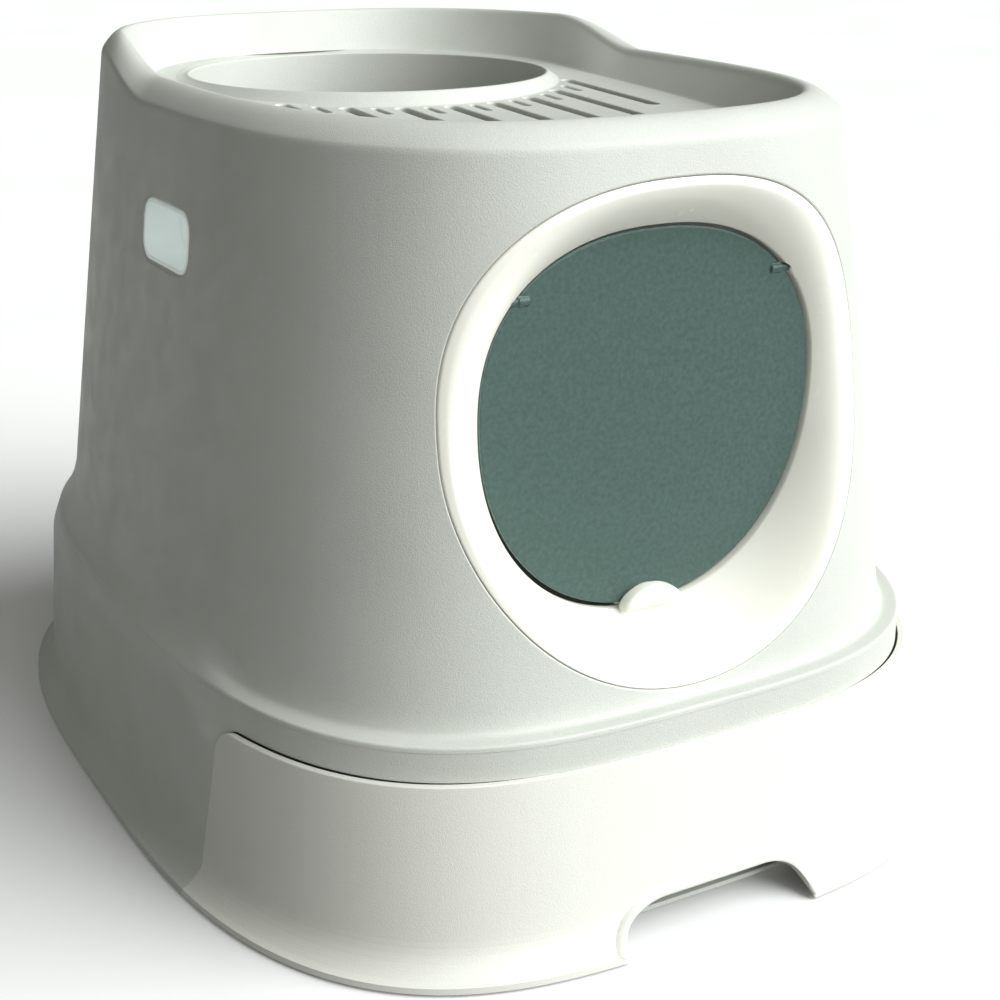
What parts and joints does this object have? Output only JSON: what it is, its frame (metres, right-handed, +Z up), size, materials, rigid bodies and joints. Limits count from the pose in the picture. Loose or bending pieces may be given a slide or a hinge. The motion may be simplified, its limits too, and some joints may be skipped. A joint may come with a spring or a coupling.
{
  "type": "cat litter box with hood",
  "caption": "Hooded cat litter box with a swing door, a round top entry in a slotted deck, and a pull-out litter drawer under a lift-off hood.",
  "frame": {"origin": "centre of the footprint, on the surface the box stands on", "axes": "+Z up, -Y out of the door and the drawer, +X to the right as seen from behind the box; the hood's middle plane is X = 0"},
  "size_m": [0.4358, 0.577, 0.393],
  "materials": {
    "grey_plastic": "fine-textured matte, light grey",
    "white_plastic": "matte, white",
    "white_gloss": "glossy, warm white",
    "smoke_plastic": "clear smoke-green tint, polished",
    "tray_plastic": "satin, mid grey",
    "pad_rubber": "matte, black",
    "steel": "plain"
  },
  "bodies": {
    "base": {"base_frame": "grey_plastic", "foot_front_left": "pad_rubber", "foot_front_right": "pad_rubber", "foot_rear_left": "pad_rubber", "foot_rear_right": "pad_rubber", "rail_left": "white_plastic", "rail_right": "white_plastic", "rail_screws": "steel"},
    "drawer": {"litter_tray": "tray_plastic", "drawer_front": "white_plastic", "drawer_screws": "steel"},
    "hood": {"hood_shell": "grey_plastic", "handle_cup_left": "white_plastic", "handle_cup_right": "white_plastic", "door_bezel": "white_gloss", "bezel_screws": "steel", "sill_magnet": "steel"},
    "flap": {"door_flap": "smoke_plastic", "hinge_pin_left": "smoke_plastic", "hinge_pin_right": "smoke_plastic", "magnet_holder": "white_gloss", "flap_magnet": "steel"}
  },
  "joints": [
    {"name": "drawer_slide", "type": "slide", "parent": "base", "child": "drawer", "axis": [0, -1, 0], "range_m": [0, 0.36]},
    {"name": "hood_lift", "type": "slide", "parent": "base", "child": "hood", "axis": [0, 0, 1], "range_m": [0, 0.2]},
    {"name": "flap_swing", "type": "hinge", "parent": "hood", "child": "flap", "pos_m": [0, -0.215, 0.301], "axis": [1, 0, 0], "range_deg": [-60, 60]}
  ]
}
